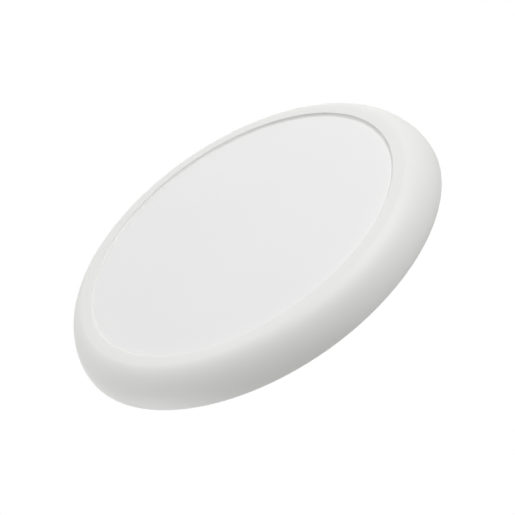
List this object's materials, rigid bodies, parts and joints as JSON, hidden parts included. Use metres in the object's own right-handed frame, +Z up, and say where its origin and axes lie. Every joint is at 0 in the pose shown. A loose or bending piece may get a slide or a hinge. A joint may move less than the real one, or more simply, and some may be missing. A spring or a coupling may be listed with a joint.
{
  "type": "concealed fire sprinkler head",
  "caption": "Concealed pendent fire sprinkler head: round white cover and trim, threaded brass body, fusible link and levers, and a drop-down slotted deflector.",
  "frame": {"origin": "on the axis of the pipe thread, in the plane of the hexagon's upper face, where the pipe fitting's face lies", "axes": "+Z up along the thread's axis into the pipe fitting; the white cover faces -Z, into the room; the two levers stand along X and the two guide pins along Y"},
  "size_m": [0.084, 0.084, 0.0311],
  "materials": {
    "white_trim": "satin white powder coat",
    "white_cover": "satin white powder coat",
    "brass": "machined",
    "bronze": "stamped",
    "copper": "stamped",
    "plated_steel": "zinc plated",
    "dark_steel": "oiled spring steel",
    "stainless": "bright stainless",
    "nickel": "nickel alloy",
    "solder": "dull fusible solder"
  },
  "bodies": {
    "head": {"body": "brass", "support_cup": "plated_steel", "cup_snap_ring": "dark_steel", "guide_tube_front": "plated_steel", "guide_tube_back": "plated_steel"},
    "front": {"retainer": "plated_steel", "trim_ring": "white_trim", "trim_rivet_1": "stainless", "trim_rivet_2": "stainless", "trim_rivet_3": "stainless", "ejector_spring_1": "stainless", "ejector_spring_2": "stainless", "ejector_spring_3": "stainless", "spring_rivet_1": "stainless", "spring_rivet_2": "stainless", "spring_rivet_3": "stainless"},
    "cover": {"cover_plate": "white_cover", "cover_tab_1": "copper", "cover_tab_2": "copper", "cover_tab_3": "copper", "solder_pad_1": "solder", "solder_pad_2": "solder", "solder_pad_3": "solder"},
    "hanger": {"deflector": "bronze", "guide_pin_front": "stainless", "guide_pin_back": "stainless"},
    "valve": {"valve_cap": "bronze", "spring_seal": "nickel", "saddle": "brass", "compression_screw": "plated_steel"},
    "lever_right": {"lever_right": "bronze"},
    "lever_left": {"lever_left": "bronze"},
    "link_right": {"link_plate_right": "nickel", "link_solder": "solder"},
    "link_left": {"link_plate_left": "nickel"}
  },
  "joints": [
    {"name": "cover_adjust", "type": "slide", "parent": "head", "child": "front", "axis": [0, 0, -1], "range_m": [0, 0.004]},
    {"name": "cover_drop", "type": "slide", "parent": "front", "child": "cover", "axis": [0, 0, -1], "range_m": [0, 0.06]},
    {"name": "deflector_drop", "type": "slide", "parent": "head", "child": "hanger", "axis": [0, 0, -1], "range_m": [0, 0.0093]},
    {"name": "valve_drop", "type": "slide", "parent": "head", "child": "valve", "axis": [0, 0, -1], "range_m": [0, 0.00075]},
    {"name": "lever_right_swing", "type": "hinge", "parent": "head", "child": "lever_right", "pos_m": [0.006, 0, -0.0102], "axis": [0, -1, 0], "range_deg": [0, 24]},
    {"name": "lever_left_swing", "type": "hinge", "parent": "head", "child": "lever_left", "pos_m": [-0.006, 0, -0.0102], "axis": [0, 1, 0], "range_deg": [0, 24]},
    {"name": "link_right_slide", "type": "slide", "parent": "head", "child": "link_right", "axis": [1, 0, 0], "range_m": [0, 0.00185]},
    {"name": "link_left_slide", "type": "slide", "parent": "head", "child": "link_left", "axis": [-1, 0, 0], "range_m": [0, 0.00225]}
  ],
  "couplings": [
    {"joint": "deflector_drop", "follows": "cover_drop", "ratio": 0.155},
    {"joint": "lever_right_swing", "follows": "valve_drop", "rad_per_m": 558.5},
    {"joint": "lever_left_swing", "follows": "valve_drop", "rad_per_m": 558.5},
    {"joint": "link_right_slide", "follows": "valve_drop", "ratio": 2.462},
    {"joint": "link_left_slide", "follows": "valve_drop", "ratio": 2.996}
  ]
}
